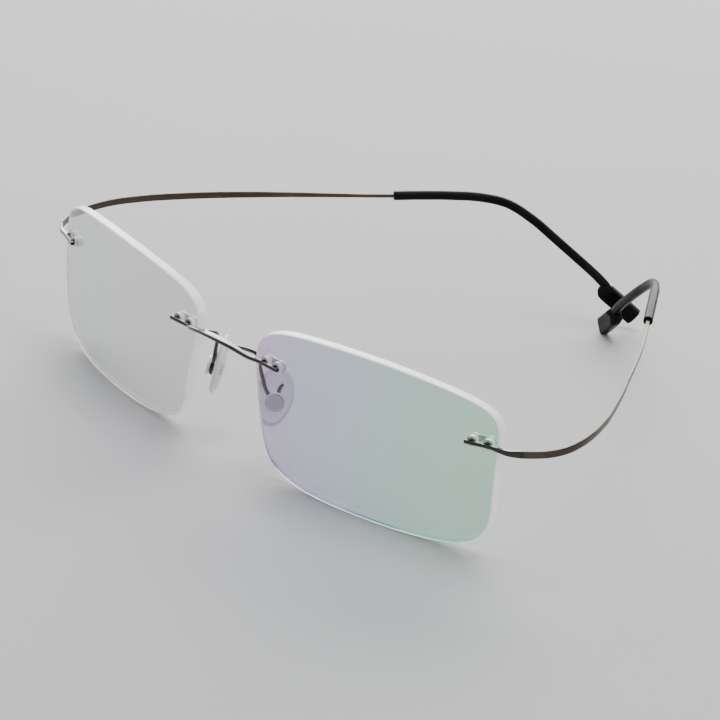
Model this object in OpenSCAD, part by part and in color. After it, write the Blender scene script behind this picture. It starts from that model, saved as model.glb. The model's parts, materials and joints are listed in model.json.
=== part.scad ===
// Rimless eyeglasses without fold hinges or screws.
// X runs across the face towards the wearer's left, Y runs back along the temples, Z is up.
// The lenses stand on z = 0. Each temple is the same shape; the left one rests closer in.

/* [Lenses] */
// Flat width of one lens across its widest line
lens_w = 53.3; // [48:0.1:56]
// Height of one lens
lens_h = 33.2; // [30:0.1:36]
// Thickness of the lens
lens_t = 2.0; // [1.6:0.1:2.4]
// Radius of the lens's front surface
lens_r = 110; // [95:1:130]
// Distance from the middle of the frame to the middle of each lens
lens_x = 37.2; // [36.8:0.1:39]
// Angle by which each lens wraps back at the temple
wrap = 12.5; // [8:0.5:14]
// Angle by which the top of each lens leans forward
tilt = 4; // [0:0.5:8]

/* [Frame metal] */
// Height of the flat bars that lie on the lenses
bar_h = 0.75; // [0.6:0.05:1]
// Front-to-back size of the bars that lie on the lenses
bar_d = 0.9; // [0.7:0.05:1.1]
// Front-to-back size of the bridge at its middle
bridge_mid_d = 1.8; // [1.2:0.1:2.4]
// Height of the temple strip where it leaves the endpiece
strip_h = 1.45; // [1.2:0.05:1.8]
// Thickness of the temple strip
strip_t = 0.5; // [0.4:0.05:0.7]
// Diameter of the wire at the back of the temple
wire_d = 0.8; // [0.7:0.05:1]

/* [Temples] */
// Angle by which the left temple rests closer in than the right one
left_lean = 5.7; // [4:0.1:7]
// Angle by which the right temple rests higher than the left one
right_rise = 0.8; // [0:0.1:1.5]
// Diameter of the black tip where it starts
tip_d = 1.95; // [1.7:0.05:2.4]
// Height of the flat end of the tip
paddle_h = 3.9; // [3:0.1:4.2]
// Thickness of the flat end of the tip
paddle_t = 2.1; // [1.6:0.1:2.3]

/* [Nose pads] */
// Height of one nose pad
pad_h = 12.2; // [11:0.1:13]
// Width of one nose pad
pad_w = 7.2; // [6.5:0.1:8]
// Thickness of one nose pad
pad_t = 2.0; // [1.6:0.1:2.2]
// Angle by which each pad's outer face turns to the front
pad_splay = 40; // [35:1:45]
// Angle by which the bottoms of the pads stand further apart
pad_flare = 9; // [5:1:12]

/* [Hidden] */
$fn = 48;
fine = 240;

// The lens's outline: its widest line lies below the middle, and each corner is a
// superellipse of its own squareness.
lens_z = 16.45;
widest_drop = 3.5;
arch = 3.5;
square_top_temple = 10;
square_top_nose = 7.3;
square_low_temple = 3.8;
square_low_nose = 4.3;
lean_temple = 0.025;
lean_nose = 0.19;

// The mounts: two posts in a double plastic sleeve through each end of each lens.
post_gap = 3.2;
post_r = 0.55;
sleeve_r = 1.0;
hump_r = 1.15;
hump_l = 1.1;
fit_gap = 0.05;
bar_gap = 0.1;
bridge_u = -24.5;
bridge_v = 7.3;
end_u = 23.2;
end_v = 6.8;
bar_over = 1.0;
post_short = 0.2;
hump_taper = 0.35;
strap_h = 1.0;
strap_t = 0.7;
// How much further from the glass a bar runs where it leaves the lens, how far a
// cutter passes the faces that it cuts, and how finely a lens's outline is drawn.
bend_lift = 0.1;
overrun = 1;
edge_step = 3;

// The place where the polished endpiece ends and the satin temple begins, and the
// narrow gap there in which the temple's flexing is gathered.
seam = [66.9, 10.6, 23.2];
seam_gap = 0.12;

// The nose pad's ring, in the frame of the pad: x outwards, y back, z up the pad.
ring_place = [9.65, 3.3, 14.2];
ring_r = 1.45;
ring_wire_r = 0.38;
arm_r = 0.38;
neck_r = 1.01;
flange_r = 1.9;
flange_t = 0.6;
pad_face = 0.5;
core_gap = 0.1;
core_foot = 0.9;
pocket_gap = 0.02;
foot_gap = 0.05;

// The pad's outline: its middle lies above the ring, it leans a little, and its lower
// half narrows. A dome of this radius rounds the side towards the nose.
pad_rise = 0.7;
pad_lean = 0.05;
pad_narrow = 0.28;
pad_full = 0.85;
pad_dome = 14;

metal = [0.16, 0.14, 0.12];
satin = [0.36, 0.30, 0.26];
clear = [0.85, 0.90, 0.92, 0.5];

// ---- Curves and sweeps ----

// Catmull-Rom point between b and c, at t from 0 to 1.
function blend(a, b, c, d, t) =
    0.5 * (2 * b + (c - a) * t + (2 * a - 5 * b + 4 * c - d) * t * t
    + (3 * b - a - 3 * c + d) * t * t * t);

// A smooth run of stations through the given ones, with per_step points in each span.
function smooth(s, per_step) = [
    for (i = [0 : len(s) - 2])
    for (k = [0 : per_step - 1])
    blend(s[max(i - 1, 0)], s[i], s[i + 1], s[min(i + 2, len(s) - 1)], k / per_step),
    s[len(s) - 1]
];

function place(s) = [s[0], s[1], s[2]];
function unit(v) = v / norm(v);
function heading(s, i) = unit(place(s[min(i + 1, len(s) - 1)]) - place(s[max(i - 1, 0)]));
function power(v, e) = sign(v) * pow(abs(v), e);

// One ring of points around station i: s[i][3] is its width and s[i][4] its height.
function ring(s, i, sides, square, up) =
    let (
        along = heading(s, i),
        across = unit(cross(along, up)),
        rise = cross(across, along)
    )
    [
        for (k = [0 : sides - 1])
        let (a = 360 * (k + 0.5) / sides)
        place(s[i]) + across * s[i][3] / 2 * power(cos(a), 2 / square)
        + rise * s[i][4] / 2 * power(sin(a), 2 / square)
    ];

// A bar swept through stations [x, y, z, width, height].
module sweep(s, sides, square, up = [0, 0, 1]) {
    last = len(s) - 1;
    points = [for (i = [0 : last]) each ring(s, i, sides, square, up)];
    walls = [
        for (i = [0 : last - 1])
        for (k = [0 : sides - 1])
        let (a = i * sides + k, b = i * sides + (k + 1) % sides)
        each [[a, b, a + sides], [b, b + sides, a + sides]]
    ];
    first_cap = [for (k = [1 : sides - 2]) [0, k + 1, k]];
    last_cap = [for (k = [1 : sides - 2]) [last * sides, last * sides + k, last * sides + k + 1]];
    polyhedron(points, concat(walls, first_cap, last_cap));
}

// The right half is the mirror image of the left half.
module right_side() {
    mirror([1, 0, 0])
        children();
}

// ---- Lenses ----

function sag(u, v) = lens_r - sqrt(lens_r * lens_r - u * u - v * v);

function corner(t) =
    sin(t) >= 0
    ? (cos(t) >= 0 ? square_top_temple : square_top_nose)
    : (cos(t) >= 0 ? square_low_temple : square_low_nose);

// Point of the lens's outline at angle t, seen from the front of the left lens.
function lens_edge(t) =
    let (
        a = lens_w / 2,
        b = sin(t) >= 0 ? lens_h / 2 + widest_drop : lens_h / 2 - widest_drop,
        n = corner(t),
        r = pow(pow(abs(cos(t)) / a, n) + pow(abs(sin(t)) / b, n), -1 / n),
        u = r * cos(t),
        v = r * sin(t),
        low = sin(t) >= 0 ? v - arch * pow(u / a, 2) * v / b : v
    )
    [u * (1 + (u > 0 ? lean_temple : lean_nose) * low / a), low - widest_drop];

// From the lens's own frame (u to the temple, v up, n forward) to the frame of the part.
module lens_frame() {
    translate([lens_x, 0, lens_z])
        rotate([0, 0, wrap])
        rotate([90 + tilt, 0, 0])
        children();
}

// The same as a function, n in front of the lens's front surface.
function on_front(u, v, n) =
    let (
        w = n - sag(u, v),
        y = -w * cos(tilt) - v * sin(tilt),
        z = v * cos(tilt) - w * sin(tilt)
    )
    [
        lens_x + u * cos(wrap) - y * sin(wrap),
        u * sin(wrap) + y * cos(wrap),
        lens_z + z
    ];

// A frame on the lens's front surface with z straight out of the glass.
module mount_frame(u, v) {
    lens_frame()
        translate([u, v, -sag(u, v)])
        rotate([-asin(v / lens_r), asin(u / lens_r), 0])
        children();
}

module post_pair() {
    for (side = [-1, 1])
        translate([side * post_gap / 2, 0, 0])
        children();
}

module lens() {
    bore_r = sleeve_r + fit_gap;
    deepest = 8;
    difference() {
        lens_frame()
            intersection() {
                translate([0, 0, -deepest])
                    linear_extrude(deepest + overrun)
                    polygon([for (t = [0 : edge_step : 359]) lens_edge(t)]);
                translate([0, 0, -lens_r])
                    difference() {
                        sphere(r = lens_r, $fn = fine);
                        sphere(r = lens_r - lens_t, $fn = fine);
                    }
            }
        for (at = [[bridge_u, bridge_v], [end_u, end_v]])
            mount_frame(at[0], at[1])
            post_pair()
            translate([0, 0, -lens_t - overrun])
            cylinder(r = bore_r, h = lens_t + 2 * overrun);
    }
}

module lens_left() {
    color(clear)
        lens();
}

module lens_right() {
    color(clear)
        right_side()
        lens();
}

// ---- Mounts ----

// Posts from inside the bar to the back of the plastic sleeves.
module posts() {
    back = lens_t + hump_l - post_short;
    post_pair()
        translate([0, 0, -back])
        cylinder(r = post_r, h = back + bar_gap + bar_d / 2);
}

// Two plastic sleeves with domed ends behind the lens and a strap between them.
module bushing() {
    difference() {
        union() {
            post_pair()
                translate([0, 0, -lens_t - fit_gap])
                cylinder(r = sleeve_r, h = lens_t + fit_gap);
            post_pair()
                translate([0, 0, -lens_t - fit_gap - hump_l])
                cylinder(r1 = hump_r - hump_taper, r2 = hump_r, h = hump_l);
            translate([-post_gap / 2, -strap_h / 2, -lens_t - fit_gap - strap_t])
                cube([post_gap, strap_h, strap_t]);
        }
        post_pair()
            translate([0, 0, -lens_t - hump_l - overrun])
            cylinder(r = post_r + fit_gap / 2, h = lens_t + hump_l + 2 * overrun);
    }
}

module bridge_posts_left() {
    color(metal)
        mount_frame(bridge_u, bridge_v)
        posts();
}

module bridge_posts_right() {
    right_side()
        bridge_posts_left();
}

module bridge_bushing_left() {
    color(clear)
        mount_frame(bridge_u, bridge_v)
        bushing();
}

module bridge_bushing_right() {
    right_side()
        bridge_bushing_left();
}

module endpiece_posts_left() {
    color(metal)
        mount_frame(end_u, end_v)
        posts();
}

module endpiece_posts_right() {
    right_side()
        endpiece_posts_left();
}

module endpiece_bushing_left() {
    color(clear)
        mount_frame(end_u, end_v)
        bushing();
}

module endpiece_bushing_right() {
    right_side()
        endpiece_bushing_left();
}

// ---- Bridge ----

bar_out = bar_gap + bar_d / 2;
bar_reach = post_gap / 2 + bar_over;

function with_size(p, w, h) = [p[0], p[1], p[2], w, h];
function flip(s) = [-s[0], s[1], s[2], s[3], s[4]];

// The bridge widens to the back at its middle, so that its front edge stays even.
half_bridge = [
    with_size(on_front(bridge_u + bar_reach, bridge_v, bar_out), bar_d, bar_h),
    with_size(on_front(bridge_u, bridge_v, bar_out), bar_d, bar_h),
    with_size(on_front(bridge_u - bar_reach, bridge_v, bar_out + bend_lift), bar_d, bar_h),
    [8.2, -4.6, 24.4, bar_d * 1.1, bar_h],
    [4.2, -6.0 + bridge_mid_d * 0.42, 25.1, bridge_mid_d * 0.85, bar_h]
];
bridge_route = concat(
    half_bridge,
    [[0, -6.3 + bridge_mid_d / 2, 25.3, bridge_mid_d, bar_h]],
    [for (i = [len(half_bridge) - 1 : -1 : 0]) flip(half_bridge[i])]
);

module bridge() {
    color(metal)
        sweep(smooth(bridge_route, 4), 12, 3);
}

// ---- Nose pads ----

// The pad's frame stands at the middle of the ring: x outwards, y back, z up the pad.
module pad_frame() {
    translate(ring_place)
        rotate([0, 0, -pad_splay])
        rotate([0, -pad_flare, 0])
        children();
}

function in_pad_frame(p) =
    let (
        x = p[0] * cos(pad_flare) - p[2] * sin(pad_flare),
        z = p[0] * sin(pad_flare) + p[2] * cos(pad_flare)
    )
    ring_place + [
        x * cos(pad_splay) + p[1] * sin(pad_splay),
        p[1] * cos(pad_splay) - x * sin(pad_splay),
        z
    ];

function wire(p, d) = with_size(p, d, d);

// From the back of the bridge the wire runs back, turns down and meets the ring.
arm_route = [
    wire([4.3, -4.9, 25.0], 2 * arm_r),
    wire([4.8, -3.5, 24.7], 2 * arm_r),
    wire([5.25, -1.8, 24.1], 2 * arm_r),
    wire([5.75, 0, 23.1], 2 * arm_r),
    wire([6.65, 1.1, 21.3], 2 * arm_r),
    wire([7.45, 1.6, 18.8], 2 * arm_r),
    wire([8.1, 2.0, 16.6], 2 * arm_r),
    wire(in_pad_frame([0, -1.1, 0.95]), 2 * ring_wire_r)
];

module pad_ring() {
    rotate([0, 90, 0])
        rotate_extrude()
        translate([ring_r, 0])
        circle(r = ring_wire_r, $fn = 24);
}

// The short hooked end of the wire above the ring.
module hook() {
    tail = [
        wire([0, 0.45, 1.38], 2 * ring_wire_r),
        wire([0.1, 0.6, 2.2], 2 * ring_wire_r),
        wire([0.2, 0.85, 2.9], 1.6 * ring_wire_r),
        wire([0.25, 1.35, 3.5], ring_wire_r)
    ];
    sweep(smooth(tail, 3), 10, 2, [1, 0, 0]);
}

module pad_arm_left() {
    color(metal) {
        sweep(smooth(arm_route, 4), 10, 2, [1, 0.3, 0]);
        pad_frame() {
            pad_ring();
            hook();
        }
    }
}

module pad_arm_right() {
    right_side()
        pad_arm_left();
}

// The hard core of the pad: a flange outside the ring, a neck through it and a foot
// that is moulded into the soft pad.
module pad_insert_left() {
    inner = ring_wire_r + core_gap;
    color([0.80, 0.84, 0.86])
        pad_frame()
        rotate([0, 90, 0]) {
            translate([0, 0, inner])
                cylinder(r = flange_r, h = flange_t);
            translate([0, 0, -pad_face - core_foot])
                cylinder(r = neck_r, h = pad_face + core_foot + inner + core_gap);
        }
}

module pad_insert_right() {
    right_side()
        pad_insert_left();
}

// Teardrop outline of the pad, with y back and z up, wider at the top.
function pad_edge(t) =
    let (
        z = pad_h / 2 * sin(t),
        narrow = z < 0 ? 1 - pad_narrow * pow(-2 * z / pad_h, 2) : 1
    )
    [pad_w / 2 * power(cos(t), pad_full) * narrow + pad_lean * z, z + pad_rise];

// A cushion with a flat outer face and a domed inner face, with a pocket for the core.
module nose_pad_left() {
    pocket = core_foot + foot_gap;
    color([0.88, 0.92, 0.94, 0.5])
        pad_frame()
        difference() {
            intersection() {
                translate([-pad_face, 0, 0])
                    rotate([0, -90, 0])
                    linear_extrude(pad_t)
                    polygon([for (t = [0 : 2 * edge_step : 359]) let (p = pad_edge(t)) [p[1], p[0]]]);
                translate([pad_dome - pad_face - pad_t, 0, pad_rise])
                    sphere(r = pad_dome, $fn = fine);
            }
            rotate([0, 90, 0])
                translate([0, 0, -pad_face - pocket])
                cylinder(r = neck_r + pocket_gap, h = pocket + overrun);
        }
}

module nose_pad_right() {
    right_side()
        nose_pad_left();
}

// ---- Endpieces ----

// The bar on the lens deepens and stands upright as it bends back round the edge.
endpiece_route = [
    with_size(on_front(end_u - bar_reach, end_v, bar_out), bar_d, bar_h),
    with_size(on_front(end_u, end_v, bar_out), bar_d, bar_h),
    with_size(on_front(end_u + bar_reach, end_v, bar_out + bend_lift), bar_d, bar_h),
    [64.9, 9.0, 23.1, 0.75, 1.1],
    with_size(seam, strip_t, strip_h)
];

module endpiece_left() {
    color(metal)
        sweep(smooth(endpiece_route, 5), 12, 3);
}

module endpiece_right() {
    right_side()
        endpiece_left();
}

// ---- Temples ----

// The temple's own line from the seam back, bowing out first and then curving in
// behind the head, as offsets from the seam.
strip_route = [
    [0.1, seam_gap, 0, strip_t, strip_h],
    [2.6, 4.1, -0.1, strip_t, strip_h],
    [3.95, 8.35, 0.05, strip_t, strip_h],
    [4.15, 12.8, 0.45, strip_t, strip_h],
    [3.45, 17.3, 0.8, strip_t, strip_h],
    [2.1, 21.75, 1.0, strip_t, strip_h],
    [0.45, 26.1, 1.15, strip_t, strip_h],
    [-3.5, 34.5, 1.35, strip_t, strip_h],
    [-7.85, 42.7, 1.45, strip_t * 1.1, strip_h * 0.93],
    [-12.2, 50.8, 1.4, strip_t * 1.2, strip_h * 0.8],
    [-16.7, 58.8, 1.3, strip_t * 1.45, strip_h * 0.65],
    [-21.7, 66.9, 1.3, wire_d, wire_d],
    [-24.7, 71.6, 1.4, wire_d, wire_d],
    [-28.1, 77.0, 1.6, wire_d, wire_d],
    [-30.9, 81.4, 1.65, wire_d, wire_d]
];

// The black sleeve runs over the end of the wire, then steps out into a flat paddle.
sleeve_route = [
    [-25.0, 72.0, 1.4, tip_d, tip_d],
    [-28.1, 77.0, 1.6, tip_d, tip_d],
    [-31.5, 82.4, 1.65, tip_d, tip_d],
    [-35.0, 87.8, 1.4, tip_d, tip_d],
    [-38.9, 92.6, 0.3, tip_d, tip_d],
    [-43.1, 96.4, -2.6, tip_d, tip_d],
    [-47.4, 99.5, -6.2, tip_d, tip_d],
    [-51.6, 102.6, -9.9, tip_d, tip_d],
    [-55.0, 105.2, -13.0, tip_d, tip_d],
    [-58.6, 108.1, -16.9, tip_d, tip_d]
];
paddle_route = [
    [-57.4, 107.0, -16.8, paddle_t * 0.95, paddle_h],
    [-59.9, 109.0, -19.1, paddle_t, paddle_h],
    [-62.6, 111.0, -21.6, paddle_t, paddle_h]
];
sleeve_mouth = [-24.7, 71.6, 1.4, tip_d * 0.9, tip_d * 0.9];
paddle_end = [-63.2, 111.45, -22.2, paddle_t * 0.75, paddle_h * 0.7];
paddle_up = [-0.08, -0.1, 1];

module strip() {
    sweep(smooth(strip_route, 5), 12, 3);
}

module sleeve() {
    sweep(concat([sleeve_mouth], smooth(sleeve_route, 3)), 16, 2.2);
    sweep(concat(smooth(paddle_route, 2), [paddle_end]), 20, 5, paddle_up);
}

module left_temple_frame() {
    translate(seam)
        rotate([0, 0, left_lean])
        children();
}

module right_temple_frame() {
    right_side()
        translate(seam)
        rotate([right_rise, 0, 0])
        children();
}

module temple_left() {
    color(satin)
        left_temple_frame()
        strip();
}

module temple_right() {
    color(satin)
        right_temple_frame()
        strip();
}

module temple_tip_left() {
    color([0.04, 0.04, 0.04])
        left_temple_frame()
        sleeve();
}

module temple_tip_right() {
    color([0.04, 0.04, 0.04])
        right_temple_frame()
        sleeve();
}

lens_left();
lens_right();
bridge();
bridge_posts_left();
bridge_posts_right();
bridge_bushing_left();
bridge_bushing_right();
pad_arm_left();
pad_arm_right();
pad_insert_left();
pad_insert_right();
nose_pad_left();
nose_pad_right();
endpiece_left();
endpiece_right();
endpiece_posts_left();
endpiece_posts_right();
endpiece_bushing_left();
endpiece_bushing_right();
temple_left();
temple_right();
temple_tip_left();
temple_tip_right();
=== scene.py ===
"""Looks for the rimless eyeglasses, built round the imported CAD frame.

X runs towards the wearer's left, Y back along the temples, Z up. Sizes below are in
millimetres, and every mesh is written in metres.
"""
import json
import math
import bmesh
import bpy
from mathutils import Matrix, Vector

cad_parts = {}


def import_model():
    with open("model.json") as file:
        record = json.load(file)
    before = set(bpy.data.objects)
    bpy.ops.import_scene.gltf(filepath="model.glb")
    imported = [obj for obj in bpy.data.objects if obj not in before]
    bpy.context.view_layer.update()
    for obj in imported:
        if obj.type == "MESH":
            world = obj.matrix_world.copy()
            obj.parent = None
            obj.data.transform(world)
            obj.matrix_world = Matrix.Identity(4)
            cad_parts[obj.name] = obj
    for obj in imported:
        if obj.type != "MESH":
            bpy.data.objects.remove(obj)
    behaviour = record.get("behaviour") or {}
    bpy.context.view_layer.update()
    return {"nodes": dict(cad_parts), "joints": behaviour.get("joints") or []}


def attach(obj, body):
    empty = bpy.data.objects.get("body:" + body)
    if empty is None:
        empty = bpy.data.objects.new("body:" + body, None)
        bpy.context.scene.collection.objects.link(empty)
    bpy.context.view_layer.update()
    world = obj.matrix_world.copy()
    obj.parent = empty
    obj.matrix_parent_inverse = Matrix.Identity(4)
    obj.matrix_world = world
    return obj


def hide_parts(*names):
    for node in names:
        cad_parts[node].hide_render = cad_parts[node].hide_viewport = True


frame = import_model()
MM = 0.001

# ---- Driving dimensions, with the CAD's values ----
# EDGE_BEVEL, EDGE_SPLIT, BAR_SQUARE, SEAM_SHOWN and TONGUE have no variable in the CAD.

LENS_W, LENS_H, LENS_T, LENS_R = 53.3, 33.2, 2.0, 110.0
LENS_X, LENS_Z = 37.2, 16.45
WRAP, TILT = math.radians(12.5), math.radians(4)
WIDEST_DROP, ARCH = 3.5, 3.5
SQUARE_TOP_TEMPLE, SQUARE_TOP_NOSE = 10, 7.3
SQUARE_LOW_TEMPLE, SQUARE_LOW_NOSE = 3.8, 4.3
LEAN_TEMPLE, LEAN_NOSE = 0.025, 0.19
EDGE_BEVEL, EDGE_SPLIT = 0.2, 0.5

BAR_H, BAR_D, BAR_GAP, BAR_OVER = 0.75, 0.9, 0.1, 1.0
BRIDGE_MID_D, BAR_SQUARE = 1.8, 4.5
BRIDGE_U, BRIDGE_V = -24.5, 7.3
END_U, END_V = 23.2, 6.8
POST_GAP, POST_R = 3.2, 0.55
SLEEVE_R, HUMP_R, HUMP_L = 1.0, 1.15, 1.1
FIT_GAP = 0.05

STRIP_H, STRIP_T, WIRE_D = 1.45, 0.5, 0.8
SEAM_SHOWN, TONGUE = 0.05, 0.12
TIP_D, PADDLE_H, PADDLE_T = 1.95, 3.9, 2.1
TIP_UP = (-0.08, -0.1, 1)
LEFT_LEAN, RIGHT_RISE = math.radians(5.7), math.radians(0.8)

PAD_H, PAD_W, PAD_T = 12.2, 7.2, 2.0
PAD_SPLAY, PAD_FLARE = math.radians(40), math.radians(9)
PAD_FACE, PAD_RISE, PAD_LEAN, PAD_NARROW, PAD_FULL = 0.5, 0.7, 0.05, 0.28, 0.85
RING_R, RING_WIRE_R, ARM_R = 1.45, 0.38, 0.38
NECK_R, FLANGE_R, FLANGE_T = 1.01, 1.9, 0.6


def joint(name):
    return next(j for j in frame["joints"] if j["name"] == name)


SEAM = Vector(joint("temple_flex_left")["pos_m"]) / MM
RING_PLACE = Vector(joint("pad_turn_left")["pos_m"]) / MM


# ---- Mesh helpers ----

SAME_POINT, ON_AXIS = 1e-5, 1e-6
SHARP_LENS, SHARP_MOULDED, SHARP_METAL, SHARP_PAD = 30, 35, 50, 60


def smooth(stations, per_step):
    """A Catmull-Rom run through stations, each a list of numbers of the same length."""
    run = []
    last = len(stations) - 1
    for i in range(last):
        a, b = stations[max(i - 1, 0)], stations[i]
        c, d = stations[i + 1], stations[min(i + 2, last)]
        for k in range(per_step):
            t = k / per_step
            run.append([
                0.5 * (2 * q + (r - p) * t + (2 * p - 5 * q + 4 * r - s) * t * t
                       + (3 * q - p - 3 * r + s) * t ** 3)
                for p, q, r, s in zip(a, b, c, d)
            ])
    run.append(list(stations[last]))
    return run


def power(value, exponent):
    return math.copysign(abs(value) ** exponent, value)


def new_piece(name, bm, materials, side=1, sharp=40):
    """Turns a bmesh in millimetres into an object in metres; side -1 mirrors it in X."""
    bmesh.ops.remove_doubles(bm, verts=bm.verts, dist=SAME_POINT)
    bmesh.ops.transform(bm, matrix=Matrix.Diagonal((side * MM, MM, MM, 1)), verts=bm.verts)
    bmesh.ops.recalc_face_normals(bm, faces=bm.faces)
    mesh = bpy.data.meshes.new(name)
    bm.to_mesh(mesh)
    bm.free()
    for material in materials:
        mesh.materials.append(material)
    mesh.shade_smooth()
    mesh.set_sharp_from_angle(angle=math.radians(sharp))
    piece = bpy.data.objects.new(name, mesh)
    bpy.context.scene.collection.objects.link(piece)
    return piece


def place_piece(piece, body, slot, *nodes):
    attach(piece, body)
    if nodes:
        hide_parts(*nodes)


def add_rings(bm, rings, closed_ends=True):
    """Joins rings of points with quads and, where asked, closes both ends."""
    loops = [[bm.verts.new(p) for p in ring] for ring in rings]
    sides = len(rings[0])
    for low, high in zip(loops, loops[1:]):
        for k in range(sides):
            n = (k + 1) % sides
            bm.faces.new((low[k], low[n], high[n], high[k]))
    if closed_ends:
        for loop in (loops[0], loops[-1]):
            bm.faces.new(loop)
    return loops


def round_ends(run, size, steps, ends):
    """Adds stations that draw each end in to a rounded edge of the given size."""
    ended = list(run)
    for end in ends:
        here, inner = run[end], run[1 if end == 0 else -2]
        way = (Vector(here[:3]) - Vector(inner[:3])).normalized()
        extra = []
        for k in range(1, steps + 1):
            a = math.pi / 2 * k / steps
            out = size * math.sin(a)
            cut = 1 - 2 * size * (1 - math.cos(a)) / max(here[3], here[4])
            place = Vector(here[:3]) + way * (out - size)
            extra.append([*place, here[3] * cut, here[4] * cut, *here[5:]])
        start = [*(Vector(here[:3]) - way * size), *here[3:]]
        if end == 0:
            ended = extra[::-1] + [start] + ended[1:]
        else:
            ended = ended[:-1] + [start] + extra
    return ended


def sweep(bm, run, sides, square=2.0, up=(0, 0, 1)):
    """A bar through stations [x, y, z, width, height] with a superellipse section.

    A sixth number in a station is its own squareness.
    """
    up = Vector(up)
    rings = []
    for i, station in enumerate(run):
        before = Vector(run[max(i - 1, 0)][:3])
        after = Vector(run[min(i + 1, len(run) - 1)][:3])
        along = (after - before).normalized()
        across = along.cross(up).normalized()
        rise = across.cross(along)
        centre = Vector(station[:3])
        bend = 2 / (station[5] if len(station) > 5 else square)
        ring = []
        for k in range(sides):
            a = 2 * math.pi * (k + 0.5) / sides
            ring.append(
                centre
                + across * (station[3] / 2 * power(math.cos(a), bend))
                + rise * (station[4] / 2 * power(math.sin(a), bend))
            )
        rings.append(ring)
    add_rings(bm, rings)


def wire(bm, points, radii, sides=20):
    """A round wire along points, its frame carried along so that it never twists."""
    points = [Vector(p) for p in points]
    along = [
        (points[min(i + 1, len(points) - 1)] - points[max(i - 1, 0)]).normalized()
        for i in range(len(points))
    ]
    across = along[0].orthogonal().normalized()
    rings = []
    for i, centre in enumerate(points):
        if i:
            turn = along[i - 1].rotation_difference(along[i])
            across = turn @ across
        across = (across - along[i] * across.dot(along[i])).normalized()
        other = along[i].cross(across)
        rings.append([
            centre + radii[i] * (across * math.cos(a) + other * math.sin(a))
            for a in (2 * math.pi * k / sides for k in range(sides))
        ])
    add_rings(bm, rings)


def lathe(bm, profile, matrix, sides=48):
    """Turns a closed loop of (radius, z) points about z, then moves it by matrix."""
    loops = []
    for k in range(sides):
        a = 2 * math.pi * k / sides
        loops.append([
            bm.verts.new(matrix @ Vector((r * math.cos(a), r * math.sin(a), z)))
            for r, z in profile
        ])
    count = len(profile)
    for k in range(sides):
        here, there = loops[k], loops[(k + 1) % sides]
        for i in range(count):
            j = (i + 1) % count
            if profile[i][0] < ON_AXIS and profile[j][0] < ON_AXIS:
                continue
            corners = [here[i], there[i], there[j], here[j]]
            if profile[i][0] < ON_AXIS:
                corners = [here[i], there[j], here[j]]
            elif profile[j][0] < ON_AXIS:
                corners = [here[i], there[i], here[j]]
            bm.faces.new(corners)


def arc(centre_r, centre_z, size, start, stop, steps=6):
    """Points (radius, z) of an arc from start to stop degrees."""
    return [
        (
            centre_r + size * math.cos(math.radians(start + (stop - start) * k / steps)),
            centre_z + size * math.sin(math.radians(start + (stop - start) * k / steps)),
        )
        for k in range(steps + 1)
    ]


def apply_boolean(piece, cutters, operation):
    """Cuts or joins the cutters with piece, then removes them."""
    for cutter in cutters:
        step = piece.modifiers.new("cut", "BOOLEAN")
        step.object = cutter
        step.operation = operation
        step.solver = "EXACT"
    bpy.context.view_layer.update()
    graph = bpy.context.evaluated_depsgraph_get()
    mesh = bpy.data.meshes.new_from_object(piece.evaluated_get(graph))
    piece.modifiers.clear()
    old = piece.data
    piece.data = mesh
    bpy.data.meshes.remove(old)
    for cutter in cutters:
        bpy.data.objects.remove(cutter)


# ---- Materials ----

class Nodes:
    """A new material with a Principled shader and short calls to add nodes to it."""

    def __init__(self, name, **inputs):
        self.material = bpy.data.materials.new(name)
        self.material.use_nodes = True
        self.tree = self.material.node_tree
        self.shader = self.tree.nodes["Principled BSDF"]
        for key, value in inputs.items():
            self.shader.inputs[key.replace("_", " ")].default_value = value

    def add(self, kind, **settings):
        item = self.tree.nodes.new("ShaderNode" + kind)
        for key, value in settings.items():
            if hasattr(item, key):
                setattr(item, key, value)
            else:
                item.inputs[key.replace("_", " ")].default_value = value
        return item

    def link(self, source, output, target, socket):
        self.tree.links.new(source.outputs[output], target.inputs[socket])

    def object_place(self, scale):
        where = self.add("TexCoord")
        mapping = self.add("Mapping")
        mapping.inputs["Scale"].default_value = scale
        self.link(where, "Object", mapping, "Vector")
        return mapping

    def noise(self, scale, detail, stretch=(1, 1, 1)):
        mapping = self.object_place(stretch)
        item = self.add("TexNoise", Scale=scale, Detail=detail)
        self.link(mapping, "Vector", item, "Vector")
        return item

    def ramp(self, source, stops, output="Fac"):
        item = self.add("ValToRGB")
        elements = item.color_ramp.elements
        while len(elements) < len(stops):
            elements.new(0.5)
        for element, (place, colour) in zip(elements, stops):
            element.position = place
            element.color = (*colour, 1)
        self.link(source, output, item, "Fac")
        return item

    def between(self, source, low, high):
        item = self.add("MapRange")
        item.inputs["To Min"].default_value = low
        item.inputs["To Max"].default_value = high
        self.link(source, "Fac", item, "Value")
        return item

    def bump(self, source, strength, distance):
        item = self.add("Bump", Strength=strength, Distance=distance)
        self.link(source, "Fac", item, "Height")
        self.link(item, "Normal", self.shader, "Normal")


def polished_metal():
    """Polished titanium with faint polishing marks and a little colour drift; its dark brown base
    colour is pushed to near black, painted shade standing in for dark surroundings in its
    reflections.
    """
    m = Nodes("polished_metal", Metallic=1.0, Roughness=0.12, Coat_Weight=1.0)
    drift = m.noise(180, 3)
    # Painted shade: the near-black base colour makes the polished faces look as if they reflect
    # dark surroundings; only part of the darkness is the plating's own brown.
    tint = m.ramp(drift, [(0.3, (0.012, 0.010, 0.008)), (0.7, (0.032, 0.027, 0.020))])
    m.link(tint, "Color", m.shader, "Base Color")
    marks = m.noise(2600, 6, (0.25, 0.25, 1))
    rough = m.between(marks, 0.07, 0.18)
    m.link(rough, "Result", m.shader, "Roughness")
    m.bump(marks, 0.05, 0.00002)
    return m.material


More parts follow.
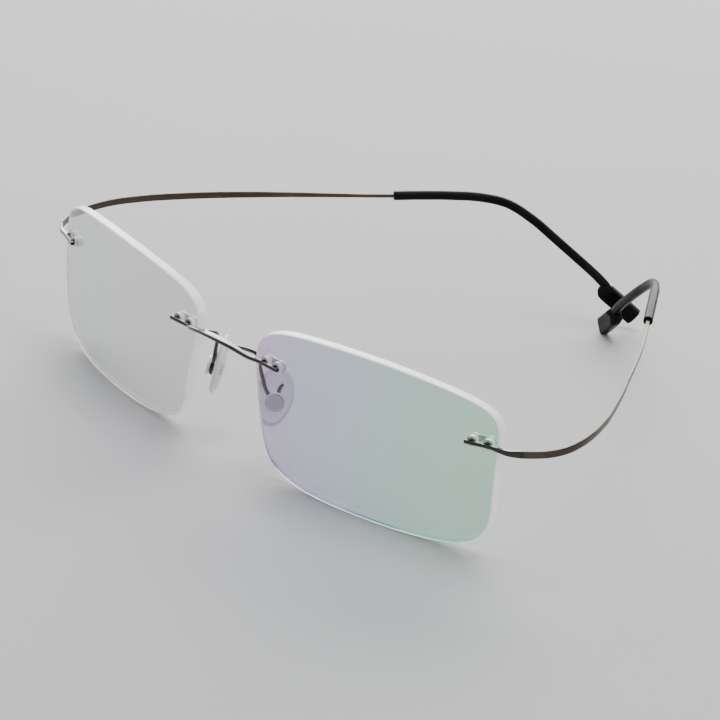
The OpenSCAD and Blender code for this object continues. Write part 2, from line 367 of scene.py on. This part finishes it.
def satin_metal():
    """Brown satin titanium, brushed along the temple."""
    m = Nodes("satin_metal", Metallic=1.0, Roughness=0.34)
    drift = m.noise(90, 3)
    tint = m.ramp(drift, [(0.3, (0.055, 0.042, 0.033)), (0.7, (0.098, 0.077, 0.060))])
    m.link(tint, "Color", m.shader, "Base Color")
    brush = m.noise(900, 8, (2, 0.2, 9))
    rough = m.between(brush, 0.26, 0.44)
    m.link(rough, "Result", m.shader, "Roughness")
    m.bump(brush, 0.12, 0.00003)
    return m.material


def black_sleeve():
    """Smooth black moulded plastic with a fine grain and slightly uneven gloss."""
    m = Nodes("black_sleeve", Roughness=0.3, Specular_IOR_Level=0.05)
    drift = m.noise(140, 4)
    tint = m.ramp(drift, [(0.3, (0.004, 0.004, 0.005)), (0.75, (0.011, 0.010, 0.011))])
    m.link(tint, "Color", m.shader, "Base Color")
    grain = m.noise(3500, 5)
    rough = m.between(grain, 0.22, 0.38)
    m.link(rough, "Result", m.shader, "Roughness")
    m.bump(grain, 0.08, 0.00003)
    return m.material


PAINTED_REFLECTION_REACH, PAINTED_REFLECTION_WANDER = 65, 0.12


def drift_across(m, scale, stops):
    """The painted coat reflection colour, running from the right lens to the left one, with a
    little wandering.
    """
    where = m.add("TexCoord")
    split = m.add("SeparateXYZ")
    m.link(where, "Object", split, "Vector")
    place = m.add("MapRange")
    place.inputs["From Min"].default_value = -PAINTED_REFLECTION_REACH * MM
    place.inputs["From Max"].default_value = PAINTED_REFLECTION_REACH * MM
    m.link(split, "X", place, "Value")
    cloud = m.noise(scale, 3)
    sway = m.add("Math", operation="MULTIPLY_ADD")
    sway.inputs[1].default_value = PAINTED_REFLECTION_WANDER
    m.link(cloud, "Fac", sway, 0)
    m.link(place, "Result", sway, 2)
    return m.ramp(sway, stops, "Value")


def lens_face():
    """Clear lens; its colour is a painted reflection of the anti-reflection coat's colours,
    drifting across the glass.
    """
    m = Nodes("lens_face", Roughness=0.0, IOR=1.5, Transmission_Weight=1.0)
    # Painted reflection: the coat's reflected colours are painted into the glass's colour.
    tint = drift_across(m, 38, [
        (0.06, (0.72, 0.80, 0.77)),
        (0.24, (0.74, 0.76, 0.76)),
        (0.46, (0.78, 0.73, 0.76)),
        (0.62, (0.70, 0.54, 0.75)),
        (0.74, (0.61, 0.64, 0.78)),
        (0.88, (0.54, 0.73, 0.70)),
        (1.0, (0.53, 0.76, 0.63)),
    ])
    m.link(tint, "Color", m.shader, "Base Color")
    return m.material


def lens_bevel():
    """The back half of the lens's low edge, its colour a painted reflection of the coat's colours.

    The faint emission stands for the light that gathers in a clear edge.
    """
    m = Nodes(
        "lens_bevel", Roughness=0.08, IOR=1.5, Transmission_Weight=0.1, Emission_Strength=0.32
    )
    # Painted reflection: the coat's colours, painted on the back of the low edge and also used as
    # the colour of its glow.
    tint = drift_across(m, 60, [
        (0.1, (0.90, 0.88, 0.82)),
        (0.3, (0.86, 0.84, 0.68)),
        (0.42, (0.88, 0.64, 0.64)),
        (0.6, (0.56, 0.24, 0.60)),
        (0.75, (0.30, 0.34, 0.78)),
        (0.95, (0.10, 0.58, 0.34)),
    ])
    m.link(tint, "Color", m.shader, "Base Color")
    m.link(tint, "Color", m.shader, "Emission Color")
    return m.material


def lens_edge_ground():
    """The ground edge of the lens: milky white, with fine lines round it.

    The faint emission stands for the light that gathers in a clear edge.
    """
    m = Nodes(
        "lens_edge", Roughness=0.3, IOR=1.5, Transmission_Weight=0.04,
        Subsurface_Weight=0.3, Subsurface_Scale=0.002,
        Emission_Color=(1.0, 1.0, 1.0, 1.0), Emission_Strength=0.28,
    )
    lines = m.noise(260, 5, (1, 6, 1))
    tint = m.ramp(lines, [(0.3, (0.95, 0.96, 0.97)), (0.7, (1.0, 1.0, 1.0))])
    m.link(tint, "Color", m.shader, "Base Color")
    rough = m.between(lines, 0.2, 0.36)
    m.link(rough, "Result", m.shader, "Roughness")
    m.bump(lines, 0.05, 0.00002)
    return m.material


def clear_plastic():
    """Clear moulded sleeve, a little milky where it is thick."""
    m = Nodes(
        "clear_plastic", Roughness=0.12, IOR=1.49, Transmission_Weight=0.18,
        Subsurface_Weight=0.15, Subsurface_Scale=0.001,
    )
    cloud = m.noise(700, 4)
    tint = m.ramp(cloud, [(0.3, (0.94, 0.96, 0.97)), (0.75, (1.0, 1.0, 1.0))])
    m.link(tint, "Color", m.shader, "Base Color")
    rough = m.between(cloud, 0.06, 0.22)
    m.link(rough, "Result", m.shader, "Roughness")
    m.bump(cloud, 0.1, 0.00005)
    return m.material


def silicone(name, clear):
    """Soft silicone with a faintly matt moulded skin; clear is how much light passes."""
    m = Nodes(
        name, Roughness=0.16, IOR=1.41, Transmission_Weight=clear,
        Subsurface_Weight=0.1, Subsurface_Scale=0.002,
    )
    cloud = m.noise(500, 5)
    tint = m.ramp(cloud, [(0.3, (0.90, 0.93, 0.95)), (0.75, (0.98, 0.99, 1.0))])
    m.link(tint, "Color", m.shader, "Base Color")
    skin = m.noise(4000, 3)
    rough = m.between(skin, 0.1, 0.26)
    m.link(rough, "Result", m.shader, "Roughness")
    m.bump(skin, 0.06, 0.00003)
    return m.material


METAL = polished_metal()
SATIN = satin_metal()
BLACK = black_sleeve()
LENS_FACE = lens_face()
LENS_EDGE = lens_edge_ground()
LENS_BEVEL = lens_bevel()
CLEAR = clear_plastic()
SILICONE = silicone("silicone", 0.78)
SILICONE_RIM = silicone("silicone_rim", 0.12)


# ---- Lens geometry ----

def sag(u, v, radius=LENS_R):
    return LENS_R - math.sqrt(radius * radius - u * u - v * v)


def lens_edge(t):
    """Point of the lens's outline at angle t, seen from the front of the left lens."""
    top, temple = math.sin(t) >= 0, math.cos(t) >= 0
    half = LENS_W / 2
    b = LENS_H / 2 + WIDEST_DROP if top else LENS_H / 2 - WIDEST_DROP
    if top:
        n = SQUARE_TOP_TEMPLE if temple else SQUARE_TOP_NOSE
    else:
        n = SQUARE_LOW_TEMPLE if temple else SQUARE_LOW_NOSE
    r = ((abs(math.cos(t)) / half) ** n + (abs(math.sin(t)) / b) ** n) ** (-1 / n)
    u, v = r * math.cos(t), r * math.sin(t)
    low = v - ARCH * (u / half) ** 2 * v / b if top else v
    lean = LEAN_TEMPLE if u > 0 else LEAN_NOSE
    return Vector((u * (1 + lean * low / half), low - WIDEST_DROP))


def lens_matrix():
    return (
        Matrix.Translation((LENS_X, 0, LENS_Z))
        @ Matrix.Rotation(WRAP, 4, "Z")
        @ Matrix.Rotation(math.pi / 2 + TILT, 4, "X")
    )


def on_front(u, v, n):
    """The place n in front of the lens's front surface."""
    return lens_matrix() @ Vector((u, v, n - sag(u, v)))


def mount_matrix(u, v):
    """A frame on the lens's front surface with z straight out of the glass."""
    return (
        lens_matrix()
        @ Matrix.Translation((u, v, -sag(u, v)))
        @ Matrix.Rotation(math.asin(u / LENS_R), 4, "Y")
        @ Matrix.Rotation(-math.asin(v / LENS_R), 4, "X")
    )


MOUNTS = {"bridge": (BRIDGE_U, BRIDGE_V), "endpiece": (END_U, END_V)}
POST_SHIFTS = (-POST_GAP / 2, POST_GAP / 2)


GLASS, EDGE, PAINTED_REFLECTION_EDGE = 0, 1, 2
CUTTER_OVER, CUTTER_SIDES = 1, 64


def build_lens(name, side):
    outline_steps, face_rings = 400, 14
    outline = [lens_edge(2 * math.pi * k / outline_steps) for k in range(outline_steps)]
    to_part = lens_matrix()
    bm = bmesh.new()
    rings = []
    inset = [p * (1 - EDGE_BEVEL / p.length) for p in outline]
    scales = [(i + 1) / face_rings for i in range(face_rings)]
    for s in scales:
        rings.append([
            to_part @ Vector((p.x * s, p.y * s, -sag(p.x * s, p.y * s))) for p in inset
        ])
    back_r = LENS_R - LENS_T
    for part in (0, EDGE_SPLIT, 1):
        ring = []
        for p in outline:
            front = -sag(p.x, p.y) - EDGE_BEVEL
            back = -sag(p.x, p.y, back_r) + EDGE_BEVEL
            ring.append(to_part @ Vector((p.x, p.y, front + (back - front) * part)))
        rings.append(ring)
    for s in reversed(scales):
        rings.append([
            to_part @ Vector((p.x * s, p.y * s, -sag(p.x * s, p.y * s, back_r))) for p in inset
        ])
    loops = add_rings(bm, rings, closed_ends=False)
    for loop, depth in ((loops[0], 0.0), (loops[-1], -LENS_T)):
        middle = bm.verts.new(to_part @ Vector((0, 0, depth)))
        for k in range(outline_steps):
            bm.faces.new((middle, loop[k], loop[(k + 1) % outline_steps]))
    piece = new_piece(name, bm, [LENS_FACE, LENS_EDGE, LENS_BEVEL], side, SHARP_LENS)
    cutters = []
    for u, v in MOUNTS.values():
        for shift in POST_SHIFTS:
            cutter = bmesh.new()
            r, low, high = SLEEVE_R + FIT_GAP, -LENS_T - CUTTER_OVER, CUTTER_OVER
            lathe(
                cutter, [(0, low), (r, low), (r, high), (0, high)],
                mount_matrix(u, v) @ Matrix.Translation((shift, 0, 0)), CUTTER_SIDES,
            )
            cutters.append(new_piece("cutter", cutter, [], side))
    apply_boolean(piece, cutters, "DIFFERENCE")
    mark_lens_edge(piece, side)
    return piece


def mark_lens_edge(piece, side):
    """Gives each face its material: glass, white edge, or the painted coat reflection on the back
    of the low edge.

    The painted reflection keeps to downward faces below the lens's middle, and it leaves out those
    that turn towards +X, so the hole walls and the far lens's nasal corner stay white.
    """
    flat_from, downward, most_towards_x = 0.9, -0.4, 0.25
    mirror = Matrix.Diagonal((side * MM, MM, MM, 1))
    to_lens = (mirror @ lens_matrix()).inverted()
    axis = (mirror @ lens_matrix()).to_3x3() @ Vector((0, 0, 1))
    axis.normalize()
    for face in piece.data.polygons:
        along = face.normal.dot(axis)
        at_edge = abs(along) < flat_from
        face.material_index = EDGE if at_edge else GLASS
        here = to_lens @ face.center
        behind = here.y < 0 and -here.z - sag(here.x, here.y) > LENS_T * EDGE_SPLIT
        faces_down = face.normal.z < downward and face.normal.x < most_towards_x
        # Painted reflection: the coat's colours go only on the downward-facing back faces of the
        # low edge.
        if at_edge and behind and faces_down:
            face.material_index = PAINTED_REFLECTION_EDGE
    piece.data.set_sharp_from_angle(angle=math.radians(SHARP_LENS))


# ---- Mounts ----

def build_bushing(name, mount, side):
    """Two sleeves through the lens with domed humps behind it, joined by a strap."""
    base = mount_matrix(*MOUNTS[mount])
    back = -LENS_T - FIT_GAP
    end = back - HUMP_L
    bore = POST_R + FIT_GAP / 2
    dome, lip = 0.7, 0.02
    strap_w, strap_h, strap_back = 2.0, 0.6, 0.45
    parts = []
    for shift in POST_SHIFTS:
        bm = bmesh.new()
        profile = [(bore, -lip), (SLEEVE_R, -lip), (SLEEVE_R, back), (HUMP_R, back)]
        profile += arc(HUMP_R - dome, end + dome, dome, 0, -80, 8)
        profile += [(bore, end + lip)]
        lathe(bm, profile, base @ Matrix.Translation((shift, 0, 0)))
        parts.append(new_piece(name if not parts else "sleeve", bm, [CLEAR], side, SHARP_MOULDED))
    strap = bmesh.new()
    reach = POST_GAP / 2 - HUMP_R * 0.75
    run = [
        [x, 0, back - strap_back, strap_w, strap_h]
        for x in (-reach, -reach / 2, 0, reach / 2, reach)
    ]
    sweep(strap, run, 24, 4)
    strap.transform(base)
    parts.append(new_piece("strap", strap, [CLEAR], side))
    apply_boolean(parts[0], parts[1:], "UNION")
    for face in parts[0].data.polygons:
        face.use_smooth = True
    parts[0].data.set_sharp_from_angle(angle=math.radians(SHARP_MOULDED))
    return parts[0]


# ---- Metal bars ----

BAR_OUT = BAR_GAP + BAR_D / 2
BAR_LIFT = 0.1
REACH = POST_GAP / 2 + BAR_OVER
BRIDGE_FRONT = -6.3
BAR_SIDES, BAR_ROUNDING, ROUNDING_STEPS = 44, 0.1, 5


def sized(place, width, height):
    return [*place, width, height]


def bridge_route():
    half = [
        sized(on_front(BRIDGE_U + REACH, BRIDGE_V, BAR_OUT), BAR_D, BAR_H),
        sized(on_front(BRIDGE_U, BRIDGE_V, BAR_OUT), BAR_D, BAR_H),
        sized(on_front(BRIDGE_U - REACH, BRIDGE_V, BAR_OUT + BAR_LIFT), BAR_D, BAR_H),
        [8.2, -4.6, 24.4, BAR_D * 1.1, BAR_H],
        [4.2, -6.0 + BRIDGE_MID_D * 0.42, 25.1, BRIDGE_MID_D * 0.85, BAR_H],
    ]
    other = [[-s[0], *s[1:]] for s in reversed(half)]
    middle = [0, BRIDGE_FRONT + BRIDGE_MID_D / 2, 25.3, BRIDGE_MID_D, BAR_H]
    return half + [middle] + other


def endpiece_route():
    return [
        sized(on_front(END_U - REACH, END_V, BAR_OUT), BAR_D, BAR_H),
        sized(on_front(END_U, END_V, BAR_OUT), BAR_D, BAR_H),
        sized(on_front(END_U + REACH, END_V, BAR_OUT + BAR_LIFT), BAR_D, BAR_H),
        [64.9, 9.0, 23.1, 0.75, 1.1],
        sized(SEAM, STRIP_T, STRIP_H),
    ]


def build_bar(name, route, rounded, side=1):
    bm = bmesh.new()
    run = round_ends(smooth(route, 12), BAR_ROUNDING, ROUNDING_STEPS, rounded)
    sweep(bm, run, BAR_SIDES, BAR_SQUARE)
    return new_piece(name, bm, [METAL], side, SHARP_METAL)


# ---- Nose pads ----

def pad_matrix():
    return (
        Matrix.Translation(RING_PLACE)
        @ Matrix.Rotation(-PAD_SPLAY, 4, "Z")
        @ Matrix.Rotation(-PAD_FLARE, 4, "Y")
    )


def build_pad_arm(name, side):
    """One wire: from the bridge, down, round the pad's neck and up into a hook."""
    frame_of_pad = pad_matrix()
    turns, entry, round_trip = 60, math.radians(138), math.radians(287)
    fade, tip_thinning = 8, 0.45
    ring = []
    for k in range(turns + 1):
        a = entry + round_trip * k / turns
        on_ring = Vector((0, RING_R * math.cos(a), RING_R * math.sin(a)))
        ring.append(list(frame_of_pad @ on_ring))
    above = [
        [4.3, -4.9, 25.0], [4.8, -3.5, 24.7], [5.25, -1.8, 24.1], [5.75, 0, 23.1],
        [6.65, 1.1, 21.3], [7.45, 1.6, 18.8], [8.1, 2.0, 16.6],
    ]
    tail = [
        list(frame_of_pad @ Vector(p))
        for p in ((0.05, 0.62, 2.1), (0.2, 0.85, 2.9), (0.25, 1.35, 3.5))
    ]
    down = smooth(above + [ring[0], ring[3]], 10)[:-10]
    up = smooth([ring[-5], ring[-1]] + tail, 8)[8:]
    points = down + ring[1:-1] + up
    radii = [ARM_R] * len(points)
    for k in range(fade):
        radii[k - fade] = ARM_R * (1 - tip_thinning * (k + 1) / fade)
    bm = bmesh.new()
    wire(bm, points, radii)
    return new_piece(name, bm, [METAL], side, SHARP_METAL)


def pad_edge(t):
    """Teardrop outline of the pad, as (y, z) in the pad's frame."""
    z = PAD_H / 2 * math.sin(t)
    narrow = 1 - PAD_NARROW * (2 * z / PAD_H) ** 2 if z < 0 else 1
    return PAD_W / 2 * power(math.cos(t), PAD_FULL) * narrow + PAD_LEAN * z, z + PAD_RISE


def build_pad(name, side):
    """A cushion, nearly flat on the outside, with a full round rim and a domed inside."""
    steps = 120
    outline = [Vector(pad_edge(2 * math.pi * k / steps)) for k in range(steps)]
    middle = Vector((0, PAD_RISE))
    rim, rim_from, milky_from = 0.62, 0.80, 0.84
    dome_rings, dome_start, dome_power = 8.6, 1.45, 2.4
    profile = [(s, -PAD_FACE) for s in (0.15, 0.4, 0.6, 0.74)]
    profile += [
        (rim_from + 0.20 * math.sin(a), -PAD_FACE - rim * (1 - math.cos(a)))
        for a in (math.radians(d) for d in range(15, 106, 15))
    ]
    depth = PAD_T - 0.05
    inner_start = profile[-1][0]
    for k in range(1, 9):
        s = inner_start * (1 - k / dome_rings)
        dome = (depth - dome_start * rim) * (s / inner_start) ** dome_power
        profile.append((s, -PAD_FACE - depth + dome))
    to_part = pad_matrix()
    bm = bmesh.new()
    rings = [
        [to_part @ Vector((x, *(middle + (p - middle) * s))) for p in outline]
        for s, x in profile
    ]
    loops = add_rings(bm, rings, closed_ends=False)
    bm.verts.index_update()
    for face in bm.faces:
        spread = [profile[v.index // steps][0] for v in face.verts]
        face.material_index = int(min(spread) > milky_from)
    for loop, x in ((loops[0], -PAD_FACE), (loops[-1], -PAD_FACE - depth)):
        centre = bm.verts.new(to_part @ Vector((x, *middle)))
        for k in range(steps):
            bm.faces.new((centre, loop[k], loop[(k + 1) % steps]))
    return new_piece(name, bm, [SILICONE, SILICONE_RIM], side, SHARP_PAD)


def build_insert(name, side):
    """The pad's hard core: a dished flange outside the ring, a neck and a buried foot."""
    inner = RING_WIRE_R + 0.1
    outer = inner + FLANGE_T
    foot_depth, soft, dish, groove = 0.9, 0.18, 0.28, 0.2
    foot = -PAD_FACE - foot_depth
    profile = [(0, outer), (0.26, outer), (0.33, outer - dish), (0.58, outer - dish)]
    profile += [(0.67, outer - 0.02), (1.03, outer - 0.02), (1.13, outer - groove)]
    profile += [(1.42, outer - groove), (1.52, outer)]
    profile += arc(FLANGE_R - soft, outer - soft, soft, 90, 0, 4)
    profile += arc(FLANGE_R - soft, inner + soft, soft, 0, -90, 4)
    profile += [(NECK_R, inner), (NECK_R, foot), (0, foot)]
    bm = bmesh.new()
    lathe(bm, profile, pad_matrix() @ Matrix.Rotation(math.pi / 2, 4, "Y"), 64)
    return new_piece(name, bm, [CLEAR], side, SHARP_MOULDED)


# ---- Temples ----

# Offsets from the seam: the temple bows out, then curves in behind the head. The last
# point of the paddle sits a little above the CAD's, so that its rounded end comes down to
# the same height as the CAD's.
STRIP_ROUTE = [
    [0.1, SEAM_SHOWN, 0, STRIP_T, STRIP_H],
    [2.6, 4.1, -0.1, STRIP_T, STRIP_H],
    [3.95, 8.35, 0.05, STRIP_T, STRIP_H],
    [4.15, 12.8, 0.45, STRIP_T, STRIP_H],
    [3.45, 17.3, 0.8, STRIP_T, STRIP_H],
    [2.1, 21.75, 1.0, STRIP_T, STRIP_H],
    [0.45, 26.1, 1.15, STRIP_T, STRIP_H],
    [-3.5, 34.5, 1.35, STRIP_T, STRIP_H],
    [-7.85, 42.7, 1.45, STRIP_T * 1.1, STRIP_H * 0.93],
    [-12.2, 50.8, 1.4, STRIP_T * 1.2, STRIP_H * 0.8],
    [-16.7, 58.8, 1.3, STRIP_T * 1.45, STRIP_H * 0.65],
    [-21.7, 66.9, 1.3, WIRE_D, WIRE_D],
    [-24.7, 71.6, 1.4, WIRE_D, WIRE_D],
    [-28.1, 77.0, 1.6, WIRE_D, WIRE_D],
    [-30.9, 81.4, 1.65, WIRE_D, WIRE_D],
]
SLEEVE_ROUTE = [
    [-24.75, 71.65, 1.4, TIP_D, TIP_D],
    [-28.1, 77.0, 1.6, TIP_D, TIP_D],
    [-31.5, 82.4, 1.65, TIP_D, TIP_D],
    [-35.0, 87.8, 1.4, TIP_D, TIP_D],
    [-38.9, 92.6, 0.3, TIP_D, TIP_D],
    [-43.1, 96.4, -2.6, TIP_D, TIP_D],
    [-47.4, 99.5, -6.2, TIP_D, TIP_D],
    [-51.6, 102.6, -9.9, TIP_D, TIP_D],
    [-55.0, 105.2, -13.0, TIP_D, TIP_D],
    [-57.0, 106.8, -15.2, TIP_D, TIP_D],
]
PADDLE_ROUTE = [
    [-57.4, 107.0, -16.8, PADDLE_T * 0.95, PADDLE_H],
    [-59.9, 109.0, -19.1, PADDLE_T, PADDLE_H],
    [-62.95, 111.25, -21.85, PADDLE_T, PADDLE_H],
]


def temple_matrix(side):
    turned_in = Matrix.Rotation(LEFT_LEAN, 4, "Z")
    raised = Matrix.Rotation(RIGHT_RISE, 4, "X")
    return Matrix.Translation(SEAM) @ (turned_in if side > 0 else raised)


def build_strip(name, side):
    """The satin strip, with a slim tongue that hides the seam at its front end."""
    slim, low = STRIP_T * 0.45, STRIP_H * 0.8
    tongue = [[0.03, -TONGUE, 0, slim, low], [0.09, SEAM_SHOWN * 0.9, 0, slim, low]]
    bm = bmesh.new()
    sweep(bm, tongue + smooth(STRIP_ROUTE, 14), BAR_SIDES, BAR_SQUARE)
    bm.transform(temple_matrix(side))
    return new_piece(name, bm, [SATIN], side, SHARP_METAL)


def build_tip(name, side):
    """The black sleeve: a round tube that steps out into a flat paddle."""
    tube_square, paddle_square, step_count = 2.2, 5.0, 7
    mouth_rounding, end_rounding, end_steps, sides = 0.15, 0.8, 10, 56
    tube = [s + [tube_square] for s in smooth(SLEEVE_ROUTE, 10)]
    paddle = [s + [paddle_square] for s in smooth(PADDLE_ROUTE, 10)]
    step = []
    for k in range(1, step_count):
        t = k / step_count
        grown = math.sin(math.pi / 2 * t)
        place = [a + (b - a) * t for a, b in zip(tube[-1][:3], paddle[0][:3])]
        step.append(place + [a + (b - a) * grown for a, b in zip(tube[-1][3:], paddle[0][3:])])
    bm = bmesh.new()
    run = round_ends(tube + step + paddle, mouth_rounding, ROUNDING_STEPS, (0,))
    sweep(bm, round_ends(run, end_rounding, end_steps, (-1,)), sides, up=TIP_UP)
    bm.transform(temple_matrix(side))
    return new_piece(name, bm, [BLACK], side, SHARP_METAL)


# ---- The object ----

place_piece(
    build_bar("bridge_bar", bridge_route(), (0, -1)), "frame", "polished_metal", "bridge"
)

for hand, side in (("left", 1), ("right", -1)):
    place_piece(build_lens("lens_glass_" + hand, side), "frame", "lens", "lens_" + hand)
    for mount in MOUNTS:
        node = f"{mount}_bushing_{hand}"
        place_piece(
            build_bushing(f"{mount}_sleeves_{hand}", mount, side), "frame", "clear_sleeve", node
        )
        posts = frame["nodes"][f"{mount}_posts_{hand}"]
        posts.data.materials.clear()
        posts.data.materials.append(METAL)
    place_piece(
        build_bar("endpiece_bar_" + hand, endpiece_route(), (0,), side),
        "frame", "polished_metal", "endpiece_" + hand,
    )
    place_piece(
        build_pad_arm("pad_wire_" + hand, side), "frame", "polished_metal", "pad_arm_" + hand
    )
    place_piece(
        build_pad("soft_pad_" + hand, side), "pad_" + hand, "silicone", "nose_pad_" + hand
    )
    place_piece(
        build_insert("pad_core_" + hand, side), "pad_" + hand, "pad_core", "pad_insert_" + hand
    )
    place_piece(
        build_strip("temple_strip_" + hand, side), "temple_" + hand, "satin_metal", "temple_" + hand
    )
    place_piece(
        build_tip("ear_tip_" + hand, side), "temple_" + hand, "black_tip", "temple_tip_" + hand
    )


# ---- Floor, light and camera ----

FLOOR_HALF = 1500


def floor():
    bm = bmesh.new()
    bmesh.ops.create_grid(bm, x_segments=1, y_segments=1, size=FLOOR_HALF)
    piece = new_piece("floor", bm, [])
    m = Nodes("floor_paint", Roughness=0.7, Specular_IOR_Level=0.2)
    tone = m.noise(6, 2)
    tint = m.ramp(tone, [(0.2, (0.45, 0.46, 0.48)), (0.8, (0.48, 0.49, 0.51))])
    m.link(tint, "Color", m.shader, "Base Color")
    piece.data.materials.append(m.material)


def soft_light(name, place, size, watts, colour=(1, 1, 1), aim=(0, 0.05, 0.01)):
    data = bpy.data.lights.new(name, "AREA")
    data.color = colour
    data.shape = "RECTANGLE"
    data.size, data.size_y = size
    data.energy = watts
    lamp = bpy.data.objects.new(name, data)
    lamp.location = place
    lamp.rotation_mode = "QUATERNION"
    lamp.rotation_quaternion = (Vector(aim) - Vector(place)).to_track_quat("-Z", "Y")
    bpy.context.scene.collection.objects.link(lamp)


def camera():
    azimuth, elevation, roll = math.radians(44.41), math.radians(22.02), math.radians(6.19)
    aim = Vector((46.25, -12.9, 39.3)) * MM
    distance, focal = 0.650, 180.1
    back = Vector((
        math.sin(azimuth) * math.cos(elevation),
        -math.cos(azimuth) * math.cos(elevation),
        math.sin(elevation),
    ))
    data = bpy.data.cameras.new("camera")
    data.lens, data.sensor_width = focal, 36
    data.clip_start, data.clip_end = 0.01, 10
    item = bpy.data.objects.new("camera", data)
    item.location = aim + back * distance
    item.rotation_mode = "QUATERNION"
    turn = (-back).to_track_quat("-Z", "Y").to_matrix() @ Matrix.Rotation(roll, 3, "Z")
    item.rotation_quaternion = turn.to_quaternion()
    bpy.context.scene.collection.objects.link(item)
    bpy.context.scene.camera = item


def world():
    sky = bpy.data.worlds.new("studio")
    sky.use_nodes = True
    sky.node_tree.nodes["Background"].inputs["Color"].default_value = (0.62, 0.66, 0.72, 1)
    sky.node_tree.nodes["Background"].inputs["Strength"].default_value = 0.35
    bpy.context.scene.world = sky


floor()
world()
soft_light("top", (0.0, 0.1, 0.75), (0.5, 0.5), 5)
soft_light("left", (-0.7, -0.2, 0.45), (0.5, 0.6), 2)
soft_light("right", (0.75, 0.1, 0.4), (0.5, 0.4), 2)
soft_light("back", (-0.62, 0.78, 0.47), (1.2, 0.7), 23, (1.0, 0.95, 0.87))
camera()
